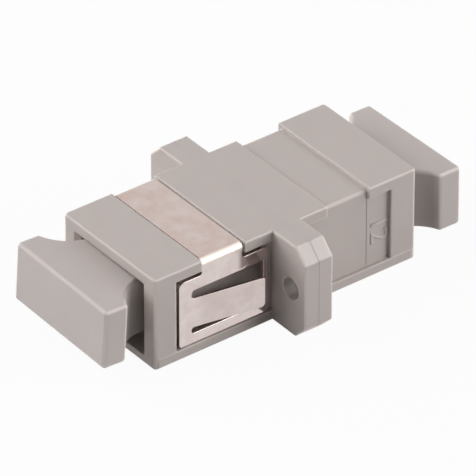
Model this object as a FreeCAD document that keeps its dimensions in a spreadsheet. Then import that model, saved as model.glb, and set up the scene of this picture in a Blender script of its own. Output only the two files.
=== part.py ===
"""SC fibre adapter, simplex, flanged, with its spring clip and both dust caps fitted.

All sizes are in millimetres. X is the fibre axis: the port that carries the clip is the front
one, towards -X, and the rear port is towards +X. Y is the width, along the flange. Z is up.
The origin is the middle of the alignment sleeve, on the fibre axis and on the welded joint.
"""
import FreeCAD, Part
import os
import Sketcher
from FreeCAD import Placement, Rotation, Vector

SIZES = {
    # housing: two mouldings, alike but for the side recesses, welded face to face at x = 0
    "half_length": 14.15,
    "body_width": 12.98,
    "body_top": 4.78,
    "body_bottom": -4.53,
    "lip_width": 13.08,
    "lip_top": -3.47,
    "flange_half": 1.53,
    "flange_span": 22.0,
    "flange_corner": 1.38,
    "screw_pitch": 18.0,
    "screw_hole": 2.2,
    "screw_level": 0.1,
    "groove_inner": 4.45,
    "groove_outer": 9.03,
    "groove_width": 12.16,
    "groove_top": 4.45,
    "groove_round": 0.4,
    "front_housing_recess": 11.8,
    "rear_housing_recess": 11.42,
    "rim_bottom": 3.65,
    "well_width": 10.7,
    "well_inner": 2.4,
    "throat_width": 9.1,
    "throat_height": 7.45,
    "lead_in": 0.45,
    "cavity_width": 10.0,
    "cavity_outer": 11.9,
    "seat_width": 11.3,
    "seat_height": 7.9,
    "seat_depth": 1.25,
    "keyway_width": 3.2,
    "keyway_length": 4.6,
    "corner_round": 0.35,
    "edge_round": 0.2,
    "step_round": 0.12,
    "hole_round": 0.1,
    "lip_round": 0.04,
    "weld_line": 0.03,
    # latch holders
    "fit_gap": 0.05,
    "tube_outer": 4.4,
    "tube_bore": 3.3,
    "tube_tip": 6.6,
    "tube_lip": 0.75,
    "tube_mouth": 2.85,
    "hook_tip": 9.2,
    "hook_inner": 4.2,
    "hook_thick": 0.5,
    "hook_height": 2.2,
    "nose_inner": 3.8,
    "nose_flat": 0.7,
    "nose_ramp": 0.6,
    "tube_bevel": 0.25,
    "hook_root": 0.25,
    # alignment sleeve
    "sleeve_outer": 3.2,
    "sleeve_bore": 2.5,
    "sleeve_length": 11.4,
    "sleeve_slit": 0.5,
    # panel clip: one folded strip of spring steel
    "sheet_thick": 0.3,
    "bend_round": 0.6,
    "band_inner": 4.7,
    "band_outer": 9.0,
    "plate_inner": 1.9,
    "plate_outer": 11.44,
    "plate_top": 3.24,
    "plate_bottom": -3.45,
    "plate_round": 0.6,
    "plate_small_round": 0.35,
    "neck_round": 0.3,
    "window_inner": 2.46,
    "window_top": 2.03,
    "window_bottom": -2.4,
    "tongue_root": 9.95,
    "tongue_free": 3.15,
    "tongue_top": 1.18,
    "tongue_bottom": -1.77,
    "tongue_rise": 1.23,
    "tongue_round": 0.4,
    "tongue_small_round": 0.15,
    "slot_overrun": 0.2,
    # dust caps
    "cap_length": 11.5,
    "cap_height": 5.86,
    "head_width": 12.9,
    "ear_thick": 2.3,
    "flare_round": 4.0,
    "neck_width": 7.44,
    "cap_round": 0.35,
    "front_cap_reach": 19.38,
    "front_cap_pitch": 2.6,
    "front_cap_roll": 1.4,
    "rear_cap_reach": 19.19,
    "rear_cap_pitch": 0.5,
    "rear_cap_roll": -1.0,
}

HALF_TURN = Rotation(Vector(0, 0, 1), 180)
REACH = 20  # past every outside face, so that a cut leaves no skin
TINY = 1e-4  # lengths and volumes that differ by less than this are equal

doc = FreeCAD.newDocument("sc_adapter")


# ---------------------------------------------------------------- drawing and feature helpers
def make_sheet():
    """Put every driving size in the document's spreadsheet, one named cell to a row."""
    sheet = doc.addObject("Spreadsheet::Sheet", "sizes")
    for row, (name, value) in enumerate(SIZES.items(), start=1):
        sheet.set(f"A{row}", str(value))
        sheet.setAlias(f"A{row}", name)
    doc.recompute()


def new_body(label):
    body = doc.addObject("PartDesign::Body", label)
    body.Label = label
    return body


def new_sketch(body, name, plane, offset="0"):
    """Attach a sketch to one of the body's own origin planes, moved along its normal."""
    sketch = body.newObject("Sketcher::SketchObject", name)
    for feature in body.Origin.OriginFeatures:
        if feature.Role == plane:
            sketch.AttachmentSupport = [(feature, "")]
    sketch.MapMode = "FlatFace"
    sketch.setExpression("AttachmentOffset.Base.z", offset)
    doc.recompute()
    return sketch


def bind(sketch, kind, where, expression):
    """Add a dimension and tie it to the spreadsheet."""
    value = float(sketch.evalExpression(expression))
    index = sketch.addConstraint(Sketcher.Constraint(kind, *where, value))
    sketch.setExpression(f"Constraints[{index}]", expression)


def outline(sketch, points):
    """Draw a closed straight-sided outline whose corners are given as expressions."""
    corners = []
    for point in points:
        corners.append(Vector(*[float(sketch.evalExpression(text)) for text in point], 0))
    first = sketch.GeometryCount
    count = len(points)
    for index in range(count):
        line = Part.LineSegment(corners[index], corners[(index + 1) % count])
        sketch.addGeometry(line, False)
    for index in range(count):
        following = first + (index + 1) % count
        sketch.addConstraint(Sketcher.Constraint("Coincident", first + index, 2, following, 1))
    for index, (across, up) in enumerate(points):
        bind(sketch, "DistanceX", (-1, 1, first + index, 1), across)
        bind(sketch, "DistanceY", (-1, 1, first + index, 1), up)


def rectangle(sketch, left, right, bottom, top):
    outline(sketch, [(left, bottom), (right, bottom), (right, top), (left, top)])


def centred(sketch, width, bottom, top):
    rectangle(sketch, f"-{width} / 2", f"{width} / 2", bottom, top)


def circle(sketch, across, up, radius):
    centre = Vector(*[float(sketch.evalExpression(text)) for text in (across, up)], 0)
    value = float(sketch.evalExpression(radius))
    index = sketch.addGeometry(Part.Circle(centre, Vector(0, 0, 1), value), False)
    bind(sketch, "Radius", (index,), radius)
    bind(sketch, "DistanceX", (-1, 1, index, 3), across)
    bind(sketch, "DistanceY", (-1, 1, index, 3), up)


def extrude(body, kind, sketch, length, reverse, midplane):
    feature = body.newObject(f"PartDesign::{kind}", f"{sketch.Name}_{kind}")
    feature.Profile = sketch
    feature.setExpression("Length", length)
    feature.Reversed = reverse
    feature.Midplane = midplane
    feature.Refine = True
    doc.recompute()
    return feature


def pad(body, sketch, length, reverse=False, midplane=False):
    return extrude(body, "Pad", sketch, length, reverse, midplane)


def pocket(body, sketch, length, reverse=False, midplane=False):
    """Cut a pocket, and stop if it met no material."""
    before = body.Shape.Volume
    feature = extrude(body, "Pocket", sketch, length, reverse, midplane)
    if feature.Shape.Volume > before - TINY:
        raise ValueError(f"{feature.Name} cuts nothing")
    return feature


def dress(body, kind, size, chosen):
    """Round (Fillet) or bevel (Chamfer) the edges for which chosen(edge) is true."""
    base = body.Tip
    edges = [f"Edge{i}" for i, edge in enumerate(base.Shape.Edges, start=1)
             if not edge.Degenerated and chosen(edge)]
    feature = body.newObject(f"PartDesign::{kind}", f"{base.Name}_{kind}")
    feature.Base = (base, edges)
    feature.setExpression("Radius" if kind == "Fillet" else "Size", size)
    doc.recompute()
    return feature


def ends(edge):
    return [vertex.Point for vertex in edge.Vertexes]


def near(value, target):
    return abs(value - target) < TINY


def runs_along(edge, axis):
    """True for a straight edge along axis 0, 1 or 2."""
    if edge.Curve.TypeId != "Part::GeomLine" or len(edge.Vertexes) != 2:
        return False
    direction = edge.tangentAt(edge.FirstParameter)
    return near(abs(direction[axis]), 1)


# ---------------------------------------------------------------- housing halves
def make_housing(label, turn):
    """One housing half: a square port tube with a half-thickness flange at its inner end."""
    body = new_body(label)
    shell = new_sketch(body, label + "_shell", "YZ_Plane")
    centred(shell, "sizes.body_width", "sizes.body_bottom", "sizes.body_top")
    pad(body, shell, "sizes.half_length")
    dress(body, "Fillet", "sizes.corner_round", lambda edge: runs_along(edge, 2) and all(
        near(p.x, SIZES["half_length"]) for p in ends(edge)))

    flange = new_sketch(body, label + "_flange", "YZ_Plane")
    tip = "sizes.flange_span / 2"
    cut = f"({tip} - sizes.flange_corner)"
    low = "sizes.body_bottom + sizes.flange_corner"
    high = "sizes.body_top - sizes.flange_corner"
    outline(flange, [
        (f"-{cut}", "sizes.body_bottom"), (cut, "sizes.body_bottom"),
        (tip, low), (tip, high),
        (cut, "sizes.body_top"), (f"-{cut}", "sizes.body_top"),
        (f"-{tip}", high), (f"-{tip}", low),
    ])
    pad(body, flange, "sizes.flange_half")

    cut_outside(body, label)
    cut_inside(body, label)
    round_housing(body, SIZES[label + "_recess"])
    add_lip(body, label)
    cut_weld_line(body, label)
    if label == "front_housing":
        cut_wells(body, label)
    body.Placement = Placement(Vector(), turn)


def cut_outside(body, label):
    """The side recesses, the clip groove over the top in line with them, and the screw holes."""
    outer = f"sizes.{label}_recess"
    recess = new_sketch(body, label + "_recess", "YZ_Plane", outer)
    inner = "sizes.groove_width / 2"
    for side in ("1 * ", "-1 * "):
        rectangle(recess, side + inner, side + str(REACH), "sizes.lip_top", "sizes.rim_bottom")
    pocket(body, recess, f"{outer} - sizes.flange_half")

    groove = new_sketch(body, label + "_groove", "YZ_Plane", "sizes.groove_outer")
    outline(groove, [
        (f"-{REACH}", "sizes.rim_bottom"), (f"-{inner}", "sizes.rim_bottom"),
        (f"-{inner}", "sizes.groove_top"), (inner, "sizes.groove_top"),
        (inner, "sizes.rim_bottom"), (f"{REACH}", "sizes.rim_bottom"),
        (f"{REACH}", f"{REACH}"), (f"-{REACH}", f"{REACH}"),
    ])
    pocket(body, groove, "sizes.groove_outer - sizes.groove_inner")

    screws = new_sketch(body, label + "_screws", "YZ_Plane", "sizes.flange_half")
    for side in ("", "-"):
        circle(screws, f"{side}sizes.screw_pitch / 2", "sizes.screw_level", "sizes.screw_hole / 2")
    pocket(body, screws, "sizes.flange_half")


def cut_inside(body, label):
    """The port: mouth and throat, the wider space for the hooks, and the holder's seat."""
    throat = new_sketch(body, label + "_throat", "YZ_Plane", "sizes.half_length")
    centred(throat, "sizes.throat_width", "-sizes.throat_height / 2", "sizes.throat_height / 2")
    pocket(body, throat, "sizes.half_length")

    cavity = new_sketch(body, label + "_cavity", "YZ_Plane", "sizes.cavity_outer")
    centred(cavity, "sizes.cavity_width", "-sizes.throat_height / 2", "sizes.throat_height / 2")
    pocket(body, cavity, "sizes.cavity_outer")

    seat = new_sketch(body, label + "_seat", "YZ_Plane", "sizes.seat_depth")
    centred(seat, "sizes.seat_width", "-sizes.seat_height / 2", "sizes.seat_height / 2")
    pocket(body, seat, "sizes.seat_depth")

    keyway = new_sketch(body, label + "_keyway", "YZ_Plane", "sizes.half_length")
    centred(keyway, "sizes.keyway_width", f"-{REACH}", "0")
    pocket(body, keyway, "sizes.keyway_length")


def round_housing(body, recess_outer):
    """Lead-in at the mouth, and the small radii that the mould leaves on the outside."""
    end = SIZES["half_length"]
    side = SIZES["body_width"] / 2
    top = SIZES["body_top"]
    bottom = SIZES["body_bottom"]
    throat = SIZES["throat_width"] / 2
    tip = SIZES["flange_span"] / 2
    flange_edges = (tip, tip - SIZES["flange_corner"])
    past_screws = SIZES["screw_pitch"] / 2
    shoulder = (SIZES["groove_width"] / 2, SIZES["groove_top"])
    steps = (SIZES["groove_inner"], SIZES["groove_outer"])
    walls = (*steps, recess_outer)

    def mouth_side(edge):
        return runs_along(edge, 2) and all(
            near(p.x, end) and near(abs(p.y), throat) for p in ends(edge))

    def groove_shoulder(edge):
        return runs_along(edge, 0) and all(
            near(abs(p.y), shoulder[0]) and near(p.z, shoulder[1]) for p in ends(edge))

    def outside(edge):
        """The outline of the end face and of the flange, and the long corners."""
        points = ends(edge)
        level = all(near(p.z, top) or near(p.z, bottom) for p in points)
        flank = all(near(abs(p.y), side) for p in points)
        out = all(abs(p.y) > past_screws for p in points)
        if not any(runs_along(edge, axis) for axis in range(3)) and not out:
            return False
        if all(near(p.x, end) for p in points):
            return level
        if all(near(p.x, SIZES["flange_half"]) for p in points):
            return len(points) == 2 and (level or out)
        corner = all(any(near(abs(p.y), value) for value in flange_edges) for p in points)
        return runs_along(edge, 0) and ((level and flank) or corner)

    def step(edge):
        """Where the groove and the recess meet the top and the sides."""
        points = ends(edge)
        on_top = all(near(p.z, top) for p in points)
        on_side = all(near(abs(p.y), side) for p in points)
        if runs_along(edge, 1):
            return on_top and any(all(near(p.x, value) for p in points) for value in steps)
        if runs_along(edge, 2):
            return on_side and any(all(near(p.x, value) for p in points) for value in walls)
        rim = all(near(p.z, SIZES["rim_bottom"]) for p in points)
        return runs_along(edge, 0) and on_side and rim

    def screw_rim(edge):
        """The front rim of a screw hole."""
        round_edge = edge.Curve.TypeId == "Part::GeomCircle" and len(edge.Vertexes) == 1
        return round_edge and near(ends(edge)[0].x, SIZES["flange_half"])

    dress(body, "Chamfer", "sizes.lead_in", mouth_side)
    dress(body, "Fillet", "sizes.groove_round", groove_shoulder)
    dress(body, "Fillet", "sizes.edge_round", outside)
    dress(body, "Fillet", "sizes.step_round", step)
    dress(body, "Fillet", "sizes.hole_round", screw_rim)


def add_lip(body, label):
    """The side walls stand a little proud below the recesses, where the mould parts."""
    lip = new_sketch(body, label + "_lip", "YZ_Plane")
    for side in ("1 * ", "-1 * "):
        rectangle(lip, side + "(sizes.body_width / 2 - sizes.edge_round)",
                  side + "sizes.lip_width / 2",
                  "sizes.body_bottom + sizes.edge_round", "sizes.lip_top")
    pad(body, lip, "sizes.half_length - sizes.corner_round")

    def proud(edge):
        top = all(near(p.z, SIZES["lip_top"]) for p in ends(edge))
        tip = SIZES["half_length"] - SIZES["corner_round"]
        end = all(near(p.x, tip) for p in ends(edge))
        out = all(near(abs(p.y), SIZES["lip_width"] / 2) for p in ends(edge))
        return out and ((runs_along(edge, 0) and top) or (runs_along(edge, 2) and end))

    dress(body, "Fillet", "sizes.lip_round", proud)


def cut_weld_line(body, label):
    """The fine line that the weld leaves across each end of the flange."""
    line = new_sketch(body, label + "_weld_line", "YZ_Plane", "sizes.weld_line")
    tip = "(sizes.flange_span / 2 - sizes.weld_line)"
    cut = "(sizes.flange_span / 2 - sizes.flange_corner - sqrt(2) * sizes.weld_line)"
    step = "(sizes.flange_corner + (sqrt(2) - 1) * sizes.weld_line)"
    for side in ("1 * ", "-1 * "):
        outline(line, [
            (side + cut, "sizes.body_bottom"), (f"{side}{REACH}", "sizes.body_bottom"),
            (f"{side}{REACH}", "sizes.body_top"), (side + cut, "sizes.body_top"),
            (side + tip, f"sizes.body_top - {step}"),
            (side + tip, f"sizes.body_bottom + {step}"),
        ])
    pocket(body, line, "sizes.weld_line")


def cut_wells(body, label):
    """Deeper wells behind the clip's windows, so that its tongues can spring inwards."""
    outer = f"sizes.{label}_recess"
    well = new_sketch(body, label + "_wells", "YZ_Plane", outer)
    for side in ("1 * ", "-1 * "):
        rectangle(well, side + "sizes.well_width / 2", side + "sizes.groove_width / 2",
                  "sizes.lip_top", "sizes.rim_bottom")
    pocket(body, well, f"{outer} - sizes.well_inner")


# ---------------------------------------------------------------- latch holders
def make_holder(label, turn):
    """One latch holder: a seat plate, half of the sleeve's tube, and two spring hooks."""
    body = new_body(label)
    plate = new_sketch(body, label + "_plate", "YZ_Plane")
    height = "(sizes.seat_height / 2 - sizes.fit_gap)"
    centred(plate, "(sizes.seat_width - 2 * sizes.fit_gap)", f"-{height}", height)
    pad(body, plate, "sizes.seat_depth")

    tube = new_sketch(body, label + "_tube", "YZ_Plane")
    circle(tube, "0", "0", "sizes.tube_outer / 2")
    pad(body, tube, "sizes.tube_tip")

    for name, side in (("left", ""), ("right", "-")):
        hook = new_sketch(body, f"{label}_{name}_hook", "XY_Plane", "-sizes.hook_height / 2")
        inner = f"{side}sizes.hook_inner"
        outer = f"{side}(sizes.hook_inner + sizes.hook_thick)"
        nose = f"{side}sizes.nose_inner"
        ramp = "sizes.hook_tip - sizes.nose_ramp"
        catch = f"{ramp} - sizes.nose_flat"
        outline(hook, [
            ("sizes.seat_depth / 2", outer), ("sizes.hook_tip", outer),
            ("sizes.hook_tip", inner), (ramp, nose), (catch, nose), (catch, inner),
            ("sizes.seat_depth / 2", inner),
        ])
        pad(body, hook, "sizes.hook_height")

    bore = new_sketch(body, label + "_bore", "YZ_Plane", "sizes.tube_tip - sizes.tube_lip")
    circle(bore, "0", "0", "sizes.tube_bore / 2")
    pocket(body, bore, "sizes.tube_tip - sizes.tube_lip")

    mouth = new_sketch(body, label + "_mouth", "YZ_Plane", "sizes.tube_tip")
    circle(mouth, "0", "0", "sizes.tube_mouth / 2")
    pocket(body, mouth, "sizes.tube_lip")

    def tube_rim(edge):
        return len(edge.Vertexes) == 1 and near(ends(edge)[0].x, SIZES["tube_tip"])

    def hook_root(edge):
        outer = SIZES["hook_inner"] + SIZES["hook_thick"]
        return runs_along(edge, 2) and all(
            near(p.x, SIZES["seat_depth"])
            and (near(abs(p.y), outer) or near(abs(p.y), SIZES["hook_inner"]))
            for p in ends(edge))

    dress(body, "Chamfer", "sizes.tube_bevel", tube_rim)
    dress(body, "Fillet", "sizes.hook_root", hook_root)
    body.Placement = Placement(Vector(), turn)


# ---------------------------------------------------------------- alignment sleeve
def make_sleeve(label):
    """The split zirconia tube that brings the two ferrules in line."""
    body = new_body(label)
    ring = new_sketch(body, label + "_ring", "YZ_Plane", "-sizes.sleeve_length / 2")
    circle(ring, "0", "0", "sizes.sleeve_outer / 2")
    circle(ring, "0", "0", "sizes.sleeve_bore / 2")
    pad(body, ring, "sizes.sleeve_length")

    slit = new_sketch(body, label + "_slit", "XY_Plane")
    half = "sizes.sleeve_slit / 2"
    rectangle(slit, f"-{REACH}", f"{REACH}", f"-{half}", half)
    pocket(body, slit, "sizes.sleeve_outer", reverse=True)


# ---------------------------------------------------------------- panel clip
def make_clip(label, turn):
    """Spring steel strip: a band over the top, and at each side a plate with a cut tongue."""
    body = new_body(label)
    outer = "(sizes.groove_width / 2 + sizes.sheet_thick)"
    inner = "(sizes.groove_width / 2)"
    upper = "sizes.groove_top + sizes.sheet_thick"

    band = new_sketch(body, label + "_band", "YZ_Plane", "sizes.band_inner")
    outline(band, [
        (f"-{outer}", "sizes.plate_top"), (f"-{inner}", "sizes.plate_top"),
        (f"-{inner}", "sizes.groove_top"), (inner, "sizes.groove_top"),
        (inner, "sizes.plate_top"), (outer, "sizes.plate_top"),
        (outer, upper), (f"-{outer}", upper),
    ])
    pad(body, band, "sizes.band_outer - sizes.band_inner")

    half = SIZES["groove_width"] / 2
    top = SIZES["groove_top"]
    thick = SIZES["sheet_thick"]

    def bend(away, level):
        return lambda edge: runs_along(edge, 0) and all(
            near(abs(p.y), away) and near(p.z, level) for p in ends(edge))

    dress(body, "Fillet", "sizes.bend_round", bend(half + thick, top + thick))
    dress(body, "Fillet", "sizes.bend_round - sizes.sheet_thick", bend(half, top))

    for name, side, face in (("left", "", f"-{outer}"), ("right", "-", inner)):
        add_clip_side(body, f"{label}_{name}", side, face, outer, inner)

    def corner(place, levels):
        return lambda edge: runs_along(edge, 1) and all(
            near(p.x, SIZES[place]) and any(near(p.z, SIZES[level]) for level in levels)
            for p in ends(edge))

    dress(body, "Fillet", "sizes.plate_round", corner("plate_outer", ("plate_top",)))
    dress(body, "Fillet", "sizes.plate_small_round", corner("plate_outer", ("plate_bottom",)))
    dress(body, "Fillet", "sizes.plate_small_round",
          corner("plate_inner", ("plate_top", "plate_bottom")))
    for place in ("band_inner", "band_outer"):
        dress(body, "Fillet", "sizes.neck_round", corner(place, ("plate_top",)))
    dress(body, "Fillet", "sizes.tongue_round", corner("tongue_free", ("tongue_bottom",)))
    dress(body, "Fillet", "sizes.tongue_small_round", corner("tongue_free", ("tongue_top",)))
    body.Placement = Placement(Vector(), turn)


def add_clip_side(body, label, side, face, outer, inner):
    """One side plate, its window with round slot ends, and the tongue bent out of it."""
    plate = new_sketch(body, label + "_plate", "XZ_Plane", face)
    rectangle(plate, "sizes.plate_inner", "sizes.plate_outer",
              "sizes.plate_bottom", "sizes.plate_top")
    pad(body, plate, "sizes.sheet_thick")

    window = new_sketch(body, label + "_window", "XZ_Plane", face)
    rectangle(window, "sizes.window_inner", "sizes.tongue_root",
              "sizes.window_bottom", "sizes.window_top")
    pocket(body, window, "sizes.sheet_thick", reverse=True)

    slots = new_sketch(body, label + "_slots", "XZ_Plane", face)
    for high, low in (("window_top", "tongue_top"), ("tongue_bottom", "window_bottom")):
        radius = f"(sizes.{high} - sizes.{low}) / 2"
        circle(slots, f"sizes.tongue_root + sizes.slot_overrun - {radius}",
               f"(sizes.{high} + sizes.{low}) / 2", radius)
    pocket(body, slots, "sizes.sheet_thick", reverse=True)

    tongue = new_sketch(body, label + "_tongue", "XY_Plane", "sizes.tongue_bottom")
    outline(tongue, [
        ("sizes.tongue_root", side + inner), ("sizes.tongue_root", side + outer),
        ("sizes.tongue_free", f"{side}({outer} + sizes.tongue_rise)"),
        ("sizes.tongue_free", f"{side}({inner} + sizes.tongue_rise)"),
    ])
    pad(body, tongue, "sizes.tongue_top - sizes.tongue_bottom")


# ---------------------------------------------------------------- dust caps
def make_cap(label, reach, turn):
    """One T-shaped cap: a wide head to pull on, hollow flares and a plug for the port."""
    body = new_body(label)
    half = "(sizes.head_width / 2)"
    neck = "(sizes.neck_width / 2)"
    fall = f"(sizes.flare_round - {half} + {neck})"
    flare = f"({reach} - sizes.ear_thick - sqrt(sizes.flare_round ^ 2 - {fall} ^ 2))"

    head = new_sketch(body, label + "_head", "XY_Plane", "-sizes.cap_height / 2")
    rectangle(head, flare, reach, f"-{half}", half)
    pad(body, head, "sizes.cap_height")

    flares = new_sketch(body, label + "_flares", "XY_Plane", "-sizes.cap_height / 2")
    for side in ("", "-"):
        circle(flares, flare, f"{side}({neck} + sizes.flare_round)", "sizes.flare_round")
    pocket(body, flares, "sizes.cap_height", reverse=True)

    plug = new_sketch(body, label + "_plug", "XY_Plane", "-sizes.cap_height / 2")
    rectangle(plug, f"{reach} - sizes.cap_length", flare, f"-{neck}", neck)
    pad(body, plug, "sizes.cap_height")

    dress(body, "Fillet", "sizes.cap_round", lambda edge: True)
    body.Placement = Placement(Vector(), turn)


# ---------------------------------------------------------------- the whole adapter
def verify(bodies):
    """Every object must be sound, and every piece one closed solid, before a file is written."""
    for item in doc.Objects:
        if "Invalid" in item.State or "Error" in item.State:
            raise ValueError(f"{item.Label} did not compute: {item.State}")
    for body in bodies:
        shape = body.Shape
        if shape.isNull() or not shape.isValid() or len(shape.Solids) != 1:
            raise ValueError(f"{body.Label} is not one valid solid")


def main():
    make_sheet()
    for end, turn in (("front", HALF_TURN), ("rear", Rotation())):
        make_housing(end + "_housing", turn)
        make_holder(end + "_latch_holder", turn)
        pitch = Rotation(Vector(0, 1, 0), SIZES[end + "_cap_pitch"])
        roll = Rotation(Vector(1, 0, 0), SIZES[end + "_cap_roll"])
        make_cap(end + "_dust_cap", f"sizes.{end}_cap_reach", pitch * roll * turn)
    make_sleeve("alignment_sleeve")
    make_clip("panel_clip", HALF_TURN)
    doc.recompute()

    bodies = [item for item in doc.Objects if item.TypeId == "PartDesign::Body"]
    verify(bodies)
    os.makedirs("parts", exist_ok=True)
    for body in bodies:
        body.Shape.exportStep(f"parts/{body.Label}.step")
        print(f"{body.Label}: {body.Shape.Volume:.1f} mm3")


main()
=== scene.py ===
"""The looks of an SC fibre adapter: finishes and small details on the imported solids."""
import math

import bmesh
import bpy
from mathutils import Matrix, Vector


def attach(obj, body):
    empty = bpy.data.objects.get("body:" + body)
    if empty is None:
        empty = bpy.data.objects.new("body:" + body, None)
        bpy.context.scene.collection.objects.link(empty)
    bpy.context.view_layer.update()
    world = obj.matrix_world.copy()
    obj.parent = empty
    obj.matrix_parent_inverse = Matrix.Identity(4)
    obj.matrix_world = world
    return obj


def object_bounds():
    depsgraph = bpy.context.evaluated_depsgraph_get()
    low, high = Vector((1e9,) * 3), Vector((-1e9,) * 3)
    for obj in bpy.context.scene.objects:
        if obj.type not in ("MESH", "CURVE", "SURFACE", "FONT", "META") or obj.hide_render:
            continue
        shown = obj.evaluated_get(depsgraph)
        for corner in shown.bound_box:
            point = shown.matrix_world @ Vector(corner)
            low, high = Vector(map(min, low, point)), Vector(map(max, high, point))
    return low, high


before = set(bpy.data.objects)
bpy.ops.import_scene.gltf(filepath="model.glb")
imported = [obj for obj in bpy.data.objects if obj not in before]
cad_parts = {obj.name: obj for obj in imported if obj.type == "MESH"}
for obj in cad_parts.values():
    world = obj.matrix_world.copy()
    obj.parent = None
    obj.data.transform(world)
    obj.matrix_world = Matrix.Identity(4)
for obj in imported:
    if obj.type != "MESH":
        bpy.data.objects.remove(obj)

cad_low, cad_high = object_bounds()
MM = 0.001


# ---------------------------------------------------------------- housing halves
# Two mouldings of warm light grey polyester, alike but for the length of their side
# recesses and the wells in the front one, welded face to face at the flange. The tool
# leaves a fine satin texture on the outside, and softly rounded edges that catch the light
# and are also painted paler, a painted highlight.
class Shade:
    """One socket of a material's tree. Arithmetic on it adds Math nodes."""

    def __init__(self, tree, socket=None):
        self.tree = tree
        self.socket = socket

    def node(self, kind, settings=None, sockets=None, output=0):
        """Add any node: its settings first, then the values or links of its sockets."""
        made = self.tree.nodes.new("ShaderNode" + kind)
        for name, value in (settings or {}).items():
            setattr(made, name, value)
        for name, value in (sockets or {}).items():
            if isinstance(value, Shade):
                self.tree.links.new(value.socket, made.inputs[name])
            else:
                made.inputs[name].default_value = value
        return Shade(self.tree, made.outputs[output] if made.outputs else None)

    def maths(self, operation, first, second):
        return self.node("Math", {"operation": operation}, {0: first, 1: second})

    def __add__(self, other):
        return self.maths("ADD", self, other)

    def __mul__(self, other):
        return self.maths("MULTIPLY", self, other)

    def __sub__(self, other):
        return self.maths("SUBTRACT", self, other)

    def __rsub__(self, other):
        return self.maths("SUBTRACT", other, self)

    def __pow__(self, other):
        return self.maths("POWER", self, other)

    def __abs__(self):
        return self.node("Math", {"operation": "ABSOLUTE"}, {0: self})

    __radd__ = __add__
    __rmul__ = __mul__

    def clamped(self, low, high, to_low=0.0, to_high=1.0):
        """Stretch the range from low to high over to_low to to_high, and hold the ends."""
        return self.node("MapRange", {"clamp": True}, {
            "Value": self, "From Min": low, "From Max": high, "To Min": to_low, "To Max": to_high})

    def blend(self, first, second):
        """Mix two colours with this value as the share of the second."""
        return self.node("Mix", {"data_type": "RGBA"}, {0: self, 6: first, 7: second}, output=2)

    def mixed_normal(self, share, first, second):
        """Mix two normals, with share as the part of the second."""
        return self.node("Mix", {"data_type": "VECTOR"}, {0: share, 4: first, 5: second}, output=1)


def new_finish(name):
    """A material with an empty tree; returns it and a Shade to add nodes with."""
    material = bpy.data.materials.new(name)
    material.use_nodes = True
    material.node_tree.nodes.clear()
    return material, Shade(material.node_tree)


def noise(shade, size, detail=2.0, roughness=0.5):
    """Noise whose grains are about size metres across, fixed to the piece."""
    where = shade.node("TexCoord", output="Object")
    return shade.node("TexNoise", {"noise_dimensions": "3D"}, {
        "Vector": where, "Scale": 1 / size, "Detail": detail, "Roughness": roughness})


def place(shade):
    """The three object coordinates of the point, in metres."""
    where = shade.node("TexCoord", output="Object")
    return [shade.node("SeparateXYZ", None, {0: where}, output=axis) for axis in range(3)]


def close_finish(material, shade, settings):
    """Feed the shader and the output of a material."""
    shader = shade.node("BsdfPrincipled", None, settings)
    shade.node("OutputMaterial", None, {"Surface": shader})
    return material


def shaded(colour, share):
    """The colour darkened to a share of itself, as the sockets take it."""
    return (*[part * share for part in colour], 1)


# Half the width kept sharp at the welded joint, the width over which each mask fades, and
# the radius that every edge is softened by.
JOINT_HALF = 0.35 * MM
BLUR = 0.03 * MM
EDGE_REACH = 0.2 * MM
BEVEL_SAMPLES = 6
# The flow mottling, the fine tool texture, how dark the mottling goes, and how dark the
# inner faces are painted, a painted shade.
FLOW_SIZE, TEXTURE_SIZE = 2.5 * MM, 0.09 * MM
FLOW_RANGE, FLOW_SHARE, PAINTED_SHADE_SHARE = (0.3, 0.7), 0.975, 0.62
TEXTURE_DEPTH, TEXTURE_STRENGTH, TEXTURE_ROUGHNESS = 0.02 * MM, 0.12, 0.08
# Where a softened normal starts to count as an edge for the painted highlight and where it
# counts in full, and the share of painted highlight left on edges across the part, whose
# normals have little of Y.
EDGE_STARTS, EDGE_FULL = 0.995, 0.86
ACROSS_Y, ALONG_Y, ACROSS_SHARE = 0.15, 0.45, 0.25


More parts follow.
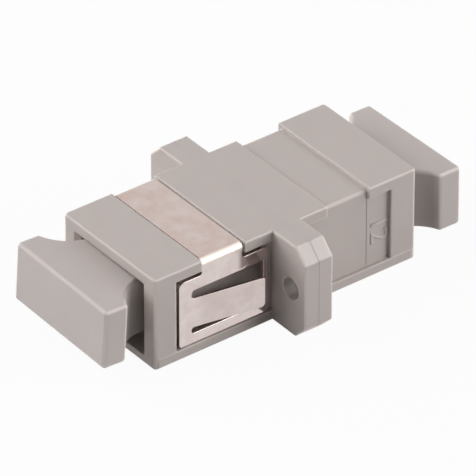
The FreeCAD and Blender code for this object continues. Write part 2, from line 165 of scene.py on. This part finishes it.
def moulded_plastic(name, colour, painted_highlight_colour, roughness, plain, painted_shade=None):
    """Satin moulding: faint flow mottling, fine tool texture and softly rounded edges.

    The long edges and the upright corners are painted much paler, a painted highlight, and the
    edges across the part less. plain masks the places, such as holes and flares, whose curves
    aren't edges and get no painted highlight, and the last argument masks the inner faces,
    which are painted darker, a painted shade.
    """
    material, shade = new_finish(name)
    mottle = noise(shade, FLOW_SIZE, detail=3).clamped(*FLOW_RANGE)
    grain = noise(shade, TEXTURE_SIZE, detail=3, roughness=0.6)
    base = mottle.blend(shaded(colour, FLOW_SHARE), shaded(colour, 1))
    # The inner faces are painted darker: a painted shade where little light reaches.
    if painted_shade:
        base = painted_shade(shade).blend(base, shaded(colour, PAINTED_SHADE_SHARE))
    rounded = shade.node("Bevel", {"samples": BEVEL_SAMPLES}, {"Radius": EDGE_REACH})
    level = shade.node("VectorMath", {"operation": "ABSOLUTE"}, {0: rounded})
    x, y, z = [shade.node("SeparateXYZ", None, {0: level}, output=axis) for axis in range(3)]
    squareness = shade.maths("MAXIMUM", x, shade.maths("MAXIMUM", y, z))
    along = y.clamped(ACROSS_Y, ALONG_Y, ACROSS_SHARE, 1.0)
    # How far each point takes the pale edge colour: a painted highlight.
    edge = squareness.clamped(EDGE_STARTS, EDGE_FULL) * along * (1 - plain(shade))
    joint = abs(place(shade)[0]).clamped(JOINT_HALF + BLUR, JOINT_HALF - BLUR)
    true = shade.node("NewGeometry", output="Normal")
    normal = shade.mixed_normal(joint, rounded, true)
    bump = shade.node("Bump", None, {
        "Strength": TEXTURE_STRENGTH, "Distance": TEXTURE_DEPTH, "Height": grain,
        "Normal": normal})
    return close_finish(material, shade, {
        "Base Color": edge.blend(base, (*painted_highlight_colour, 1)),
        "Roughness": roughness + TEXTURE_ROUGHNESS * grain,
        "Normal": bump,
        "Subsurface Weight": 0.4,
        "Subsurface Radius": (1.0, 0.9, 0.8),
        "Subsurface Scale": 0.5 * MM,
        "IOR": 1.5,
        "Specular IOR Level": 0.25,
    })


SCREW_OUT, SCREW_UP, SCREW_RADIUS = 9.0 * MM, 0.1 * MM, 1.1 * MM
FACET_MIDDLE, FACET_HALF = 10.31 * MM, 0.66 * MM
GROOVE_LOW, GROOVE_HIGH, GROOVE_LEVEL = 4.5 * MM, 9.0 * MM, 4.5 * MM
SHOULDER_SHARE = 0.3
PORT_HALF_WIDTH, PORT_HALF_HEIGHT = 4.6 * MM, 3.78 * MM


def screw_holes(shade):
    """The walls of the two screw holes."""
    y, z = place(shade)[1:]
    reach = ((abs(y) - SCREW_OUT) ** 2 + (z - SCREW_UP) ** 2) ** 0.5
    return reach.clamped(SCREW_RADIUS + BLUR, SCREW_RADIUS - BLUR)


def inner_faces_for_painted_shade(shade):
    """The walls of the screw holes and of the port, where the housing is painted darker as shade.
    """
    y, z = place(shade)[1:]
    across = abs(y).clamped(PORT_HALF_WIDTH + BLUR, PORT_HALF_WIDTH - BLUR)
    upright = abs(z).clamped(PORT_HALF_HEIGHT + BLUR, PORT_HALF_HEIGHT - BLUR)
    return (screw_holes(shade) + across * upright).clamped(0, 1)


# The places that get no painted edge highlight, or only a share of it.
def holes_and_joint(shade):
    """The screw holes, the welded joint except on the flange's facets, and a share of the
    groove's broad shoulders."""
    x, y, z = place(shade)
    out = abs(y)
    hole = screw_holes(shade)
    joint = abs(x).clamped(JOINT_HALF + BLUR, JOINT_HALF - BLUR)
    facet = abs(out - FACET_MIDDLE).clamped(FACET_HALF + BLUR, FACET_HALF - BLUR)
    along = abs(x)
    groove = (along.clamped(GROOVE_LOW, GROOVE_LOW + BLUR)
              * along.clamped(GROOVE_HIGH, GROOVE_HIGH - BLUR))
    shoulder = groove * z.clamped(GROOVE_LEVEL, GROOVE_LEVEL - BLUR) * SHOULDER_SHARE
    return (hole + joint * (1 - facet) + shoulder).clamped(0, 1)


# The grey, and the paler edge colour, which is a painted highlight.
HOUSING_GREY = (0.493, 0.442, 0.420)
HOUSING_PAINTED_HIGHLIGHT = (0.70, 0.64, 0.615)
HOUSING_ROUGHNESS = 0.42
housing_finish = moulded_plastic(
    "housing_grey", HOUSING_GREY, HOUSING_PAINTED_HIGHLIGHT, HOUSING_ROUGHNESS, holes_and_joint, inner_faces_for_painted_shade)
for half in ("front_housing", "rear_housing"):
    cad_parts[half].data.materials[0] = housing_finish


# ---------------------------------------------------------------- moulding marks
# The mould leaves a fine witness line across each rear recess, in line with the groove,
# and a low raised cavity number on one of them, lying on its side.
RECESS_FLOOR = 6.08 * MM
RECESS_LOW, RECESS_HIGH = -3.47 * MM, 3.65 * MM
GROOVE_EDGE = 9.03 * MM
LINE_WIDTH = 0.07 * MM
LINE_HEIGHT = 0.02 * MM
LINE_BEVEL = 0.6 * LINE_HEIGHT
NUMBER_PLACE = Vector((10.3 * MM, -RECESS_FLOOR, -0.2 * MM))
NUMBER_SIZE = 2.7 * MM
# Shares of the number's size.
NUMBER_RELIEF, NUMBER_BEVEL = 0.024, 0.006
MERGE_REACH = 0.00003 * MM
# Paler than the housing, so the low relief shows as light lines: a painted highlight, with the edge
# colour paler still.
MARK_PAINTED_HIGHLIGHT_GREY = (0.534, 0.481, 0.459)
MARK_PAINTED_EDGE_HIGHLIGHT = (0.56, 0.51, 0.49)
mark_painted_highlight_finish = moulded_plastic(
    "mark_grey", MARK_PAINTED_HIGHLIGHT_GREY, MARK_PAINTED_EDGE_HIGHLIGHT, HOUSING_ROUGHNESS, holes_and_joint)


def finish_piece(build, name, material):
    """Make the bmesh an object at the origin that rides on the adapter."""
    mesh = bpy.data.meshes.new(name)
    build.to_mesh(mesh)
    build.free()
    mesh.materials.append(material)
    made = bpy.data.objects.new(name, mesh)
    bpy.context.scene.collection.objects.link(made)
    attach(made, "adapter")
    return made


def witness_lines():
    build = bmesh.new()
    middle = (RECESS_LOW + RECESS_HIGH) / 2
    for side in (1, -1):
        size = Matrix.Diagonal((LINE_WIDTH, 2 * LINE_HEIGHT, RECESS_HIGH - RECESS_LOW, 1))
        where = Matrix.Translation((GROOVE_EDGE, side * RECESS_FLOOR, middle))
        bmesh.ops.create_cube(build, size=1, matrix=where @ size)
    long_edges = [edge for edge in build.edges if edge.calc_length() > 2 * LINE_WIDTH]
    bmesh.ops.bevel(build, geom=long_edges, offset=LINE_BEVEL, affect="EDGES",
                    segments=2, profile=0.5, material=-1)
    return finish_piece(build, "witness_lines", mark_painted_highlight_finish)


def cavity_number():
    text = bpy.data.curves.new("cavity_number", "FONT")
    text.body = "12"
    text.align_x = "CENTER"
    text.align_y = "CENTER"
    text.extrude = NUMBER_RELIEF - NUMBER_BEVEL
    text.bevel_depth = NUMBER_BEVEL
    text.bevel_resolution = 1
    flat = bpy.data.objects.new("flat_number", text)
    bpy.context.scene.collection.objects.link(flat)
    bpy.context.view_layer.update()
    mesh = bpy.data.meshes.new_from_object(flat)
    bpy.data.objects.remove(flat)
    build = bmesh.new()
    build.from_mesh(mesh)
    bpy.data.meshes.remove(mesh)
    on_its_side = Matrix(((0, 1, 0, 0), (0, 0, -1, 0), (-1, 0, 0, 0), (0, 0, 0, 1)))
    where = Matrix.Translation(NUMBER_PLACE) @ on_its_side @ Matrix.Scale(NUMBER_SIZE, 4)
    bmesh.ops.transform(build, matrix=where, verts=build.verts)
    bmesh.ops.remove_doubles(build, verts=build.verts, dist=MERGE_REACH)
    return finish_piece(build, "cavity_number", mark_painted_highlight_finish)


witness_lines()
cavity_number()


# ---------------------------------------------------------------- latch holders
# One inside each port, moulded in the same plastic: a seat plate, half of the sleeve's
# tube and two spring hooks. Little light reaches them.
HOLDER_ROUGHNESS = 0.5
holder_finish = moulded_plastic(
    "holder_grey", HOUSING_GREY, HOUSING_GREY, HOLDER_ROUGHNESS, holes_and_joint)
for holder in ("front_latch_holder", "rear_latch_holder"):
    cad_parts[holder].data.materials[0] = holder_finish


# ---------------------------------------------------------------- alignment sleeve
# A split tube of white zirconia, ground and polished inside and out. The slit along it lets
# it grip the two ferrules and hold them in line.
CERAMIC_DARK, CERAMIC_LIGHT = (0.80, 0.79, 0.75, 1), (0.86, 0.85, 0.82, 1)
CLOUD_SIZE, LAPPING_SIZE = 1.2 * MM, 0.03 * MM
CLOUD_RANGE = (0.35, 0.65)
CERAMIC_ROUGHNESS, LAPPING_ROUGHNESS = 0.12, 0.06


def zirconia():
    material, shade = new_finish("zirconia_white")
    cloud = noise(shade, CLOUD_SIZE).clamped(*CLOUD_RANGE)
    lapping = noise(shade, LAPPING_SIZE)
    return close_finish(material, shade, {
        "Base Color": cloud.blend(CERAMIC_DARK, CERAMIC_LIGHT),
        "Roughness": CERAMIC_ROUGHNESS + LAPPING_ROUGHNESS * lapping,
        "IOR": 2.1,
    })


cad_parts["alignment_sleeve"].data.materials[0] = zirconia()


# ---------------------------------------------------------------- panel clip
# One folded strip of bright spring steel, sheared to shape. Its band lies across the top of
# the front half, and a tongue bent out of each side plate holds the panel.
# Each pair holds the darker and the lighter colour of a face's faint clouding.
# The tongues' and the band's colours are darker, browner copies of the plates' steel: painted shade
# on the tongues and painted reflection of darker things on the band. The bend's colour is a painted
# highlight.
PLATE_STEEL = (0.64, 0.545, 0.52, 1), (0.70, 0.62, 0.60, 1)
TONGUE_PAINTED_SHADE = (0.57, 0.48, 0.455, 1), (0.63, 0.55, 0.53, 1)
BAND_PAINTED_REFLECTION = (0.56, 0.44, 0.40, 1), (0.61, 0.52, 0.49, 1)
BEND_PAINTED_HIGHLIGHT = (0.70, 0.62, 0.55, 1)
STEEL_CLOUD_SIZE, ROLLED_SIZE = 1.6 * MM, 0.08 * MM
# Where the tongues' painted shade begins sideways, and where the smooth bend, its painted
# highlight and the flat band's painted reflection begin upwards, each with the place where it
# counts in full.
TONGUE_FROM, TONGUE_FULL = 6.4 * MM, 6.55 * MM
SMOOTH_FROM, SMOOTH_FULL = 3.9 * MM, 4.0 * MM
BEND_FROM, BEND_FULL = 3.95 * MM, 4.2 * MM
BAND_FROM, BAND_FULL = 4.7 * MM, 4.74 * MM
STEEL_EDGE = 0.09 * MM
ROLLED_DEPTH, ROLLED_STRENGTH = 0.01 * MM, 0.05
STEEL_ROUGHNESS, ROLLED_ROUGHNESS, BEND_ROUGHNESS = 0.10, 0.06, 0.14


def spring_steel():
    """Rolled steel, rougher on the bends. The band is painted darker and browner than the sides,
    a painted reflection, the bend paler, a painted highlight, and the tongues, which stand out
    past the plates' faces, a little darker, a painted shade."""
    material, shade = new_finish("spring_steel")
    y, z = place(shade)[1:]
    cloud = noise(shade, STEEL_CLOUD_SIZE, detail=4, roughness=0.6).clamped(*CLOUD_RANGE)
    rolled = noise(shade, ROLLED_SIZE, detail=3)
    # The tongue, turn and flat masks place the painted shade, highlight and reflection; turn and
    # flat also set the bend's roughness.
    tongue = abs(y).clamped(TONGUE_FROM, TONGUE_FULL)
    side = tongue.blend(cloud.blend(*PLATE_STEEL), cloud.blend(*TONGUE_PAINTED_SHADE))
    turn = z.clamped(BEND_FROM, BEND_FULL)
    flat = z.clamped(BAND_FROM, BAND_FULL)
    rounded = shade.node("Bevel", {"samples": BEVEL_SAMPLES}, {"Radius": STEEL_EDGE})
    smooth = shade.node("NewGeometry", output="Normal")
    normal = shade.mixed_normal(z.clamped(SMOOTH_FROM, SMOOTH_FULL), rounded, smooth)
    bump = shade.node("Bump", None, {
        "Strength": ROLLED_STRENGTH, "Distance": ROLLED_DEPTH, "Height": rolled,
        "Normal": normal})
    return close_finish(material, shade, {
        "Base Color": flat.blend(turn.blend(side, BEND_PAINTED_HIGHLIGHT), cloud.blend(*BAND_PAINTED_REFLECTION)),
        "Metallic": 1.0,
        "Roughness": (STEEL_ROUGHNESS + ROLLED_ROUGHNESS * rolled
                      + BEND_ROUGHNESS * turn * (1 - flat)),
        "Normal": bump,
    })


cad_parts["panel_clip"].data.materials[0] = spring_steel()


# ---------------------------------------------------------------- dust caps
# T-shaped plugs of nearly the same grey, a little paler and duller than the housing. The
# painted highlight on the edges is on the head only.
HEAD_FULL, HEAD_FROM = 16.9 * MM, 16.6 * MM


def flares(shade):
    """The hollow flares and the plug, inwards of the cap's head."""
    x = place(shade)[0]
    return abs(x).clamped(HEAD_FULL, HEAD_FROM)


# The grey, and the paler edge colour, which is a painted highlight.
CAP_GREY = (0.50, 0.45, 0.43)
CAP_PAINTED_HIGHLIGHT = (0.71, 0.65, 0.625)
CAP_ROUGHNESS = 0.45
cap_finish = moulded_plastic("cap_grey", CAP_GREY, CAP_PAINTED_HIGHLIGHT, CAP_ROUGHNESS, flares)
for cap in ("front_dust_cap", "rear_dust_cap"):
    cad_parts[cap].data.materials[0] = cap_finish


# ---------------------------------------------------------------- studio
# A pale floor that runs on as the backdrop, a room that looks white but sheds very little
# light, and soft lamps. The floor lies just under the part, clear of its base.
FLOOR_SPAN = 1.6
FLOOR_GAP = 0.02 * MM
floor_mesh = bpy.data.meshes.new("floor")
floor_build = bmesh.new()
bmesh.ops.create_grid(floor_build, x_segments=1, y_segments=1, size=FLOOR_SPAN / 2,
                      matrix=Matrix.Translation((0, 0, cad_low.z - FLOOR_GAP)))
floor_build.to_mesh(floor_mesh)
floor_build.free()
floor = bpy.data.objects.new("floor", floor_mesh)
bpy.context.scene.collection.objects.link(floor)


def seen_directly(shade):
    """1 for rays from the camera, from gloss or through glass, 0 for light on the object."""
    rays = [shade.node("LightPath", output=f"Is {kind} Ray")
            for kind in ("Camera", "Glossy", "Transmission")]
    return (rays[0] + rays[1] + rays[2]).clamped(0, 1)


FLOOR_GREY = (0.65, 0.65, 0.65, 1)
GLOW_SHARE = 0.95


def pale_floor():
    material, shade = new_finish("pale_floor")
    dull = shade.node("BsdfDiffuse", None, {"Color": FLOOR_GREY})
    glow = shade.node("Emission", None, {"Color": (1, 1, 1, 1), "Strength": 1.0})
    share = seen_directly(shade) * GLOW_SHARE
    mixed = shade.node("MixShader", None, {0: share, 1: dull, 2: glow})
    shade.node("OutputMaterial", None, {"Surface": mixed})
    return material


floor.data.materials.append(pale_floor())

room = bpy.data.worlds.new("room")
bpy.context.scene.world = room
room.use_nodes = True
room.node_tree.nodes.clear()
air = Shade(room.node_tree)
ROOM_LIGHT, ROOM_WHITE = (0.02, 0.02, 0.02, 1), (1, 1, 1, 1)
colour = seen_directly(air).blend(ROOM_LIGHT, ROOM_WHITE)
backdrop = air.node("Background", None, {"Color": colour, "Strength": 1.0})
air.node("OutputWorld", None, {"Surface": backdrop})


LAMP_DISTANCE = 0.5
LAMP_SIZE = 0.5


def lamp(name, turn, rise, watts):
    """A square softbox aimed at the object: turn degrees from +X towards +Y, rise degrees up."""
    data = bpy.data.lights.new(name, "AREA")
    data.size = LAMP_SIZE
    data.energy = watts
    aim = Matrix.Rotation(math.radians(turn), 3, "Z") @ Matrix.Rotation(math.radians(-rise), 3, "Y")
    away = aim @ Vector((1, 0, 0))
    made = bpy.data.objects.new(name, data)
    made.location = away * LAMP_DISTANCE
    made.rotation_euler = (-away).to_track_quat("-Z", "Y").to_euler()
    bpy.context.scene.collection.objects.link(made)


lamp("far_low", 120, 15, 1.55)
lamp("far_high", 140, 36, 2.3)
lamp("near_low", 315, 8, 2.0)
lamp("near_high", 315, 25, 1.3)
lamp("overhead", 0, 88, 0.35)

AZIMUTH = math.radians(-37.4)
ELEVATION = math.radians(34.34)
DISTANCE = 0.6557
FIELD = math.radians(3.591)
AIM = Vector((-0.255, 0.05, -0.07)) * MM
back = Vector((math.sin(AZIMUTH) * math.cos(ELEVATION),
               -math.cos(AZIMUTH) * math.cos(ELEVATION), math.sin(ELEVATION)))
lens = bpy.data.cameras.new("camera")
lens.sensor_width = 36
lens.lens = lens.sensor_width / 2 / math.tan(FIELD / 2)
camera = bpy.data.objects.new("camera", lens)
camera.location = AIM + back * DISTANCE
camera.rotation_euler = (-back).to_track_quat("-Z", "Y").to_euler()
bpy.context.scene.collection.objects.link(camera)
bpy.context.scene.camera = camera
bpy.context.scene.view_settings.view_transform = "Standard"
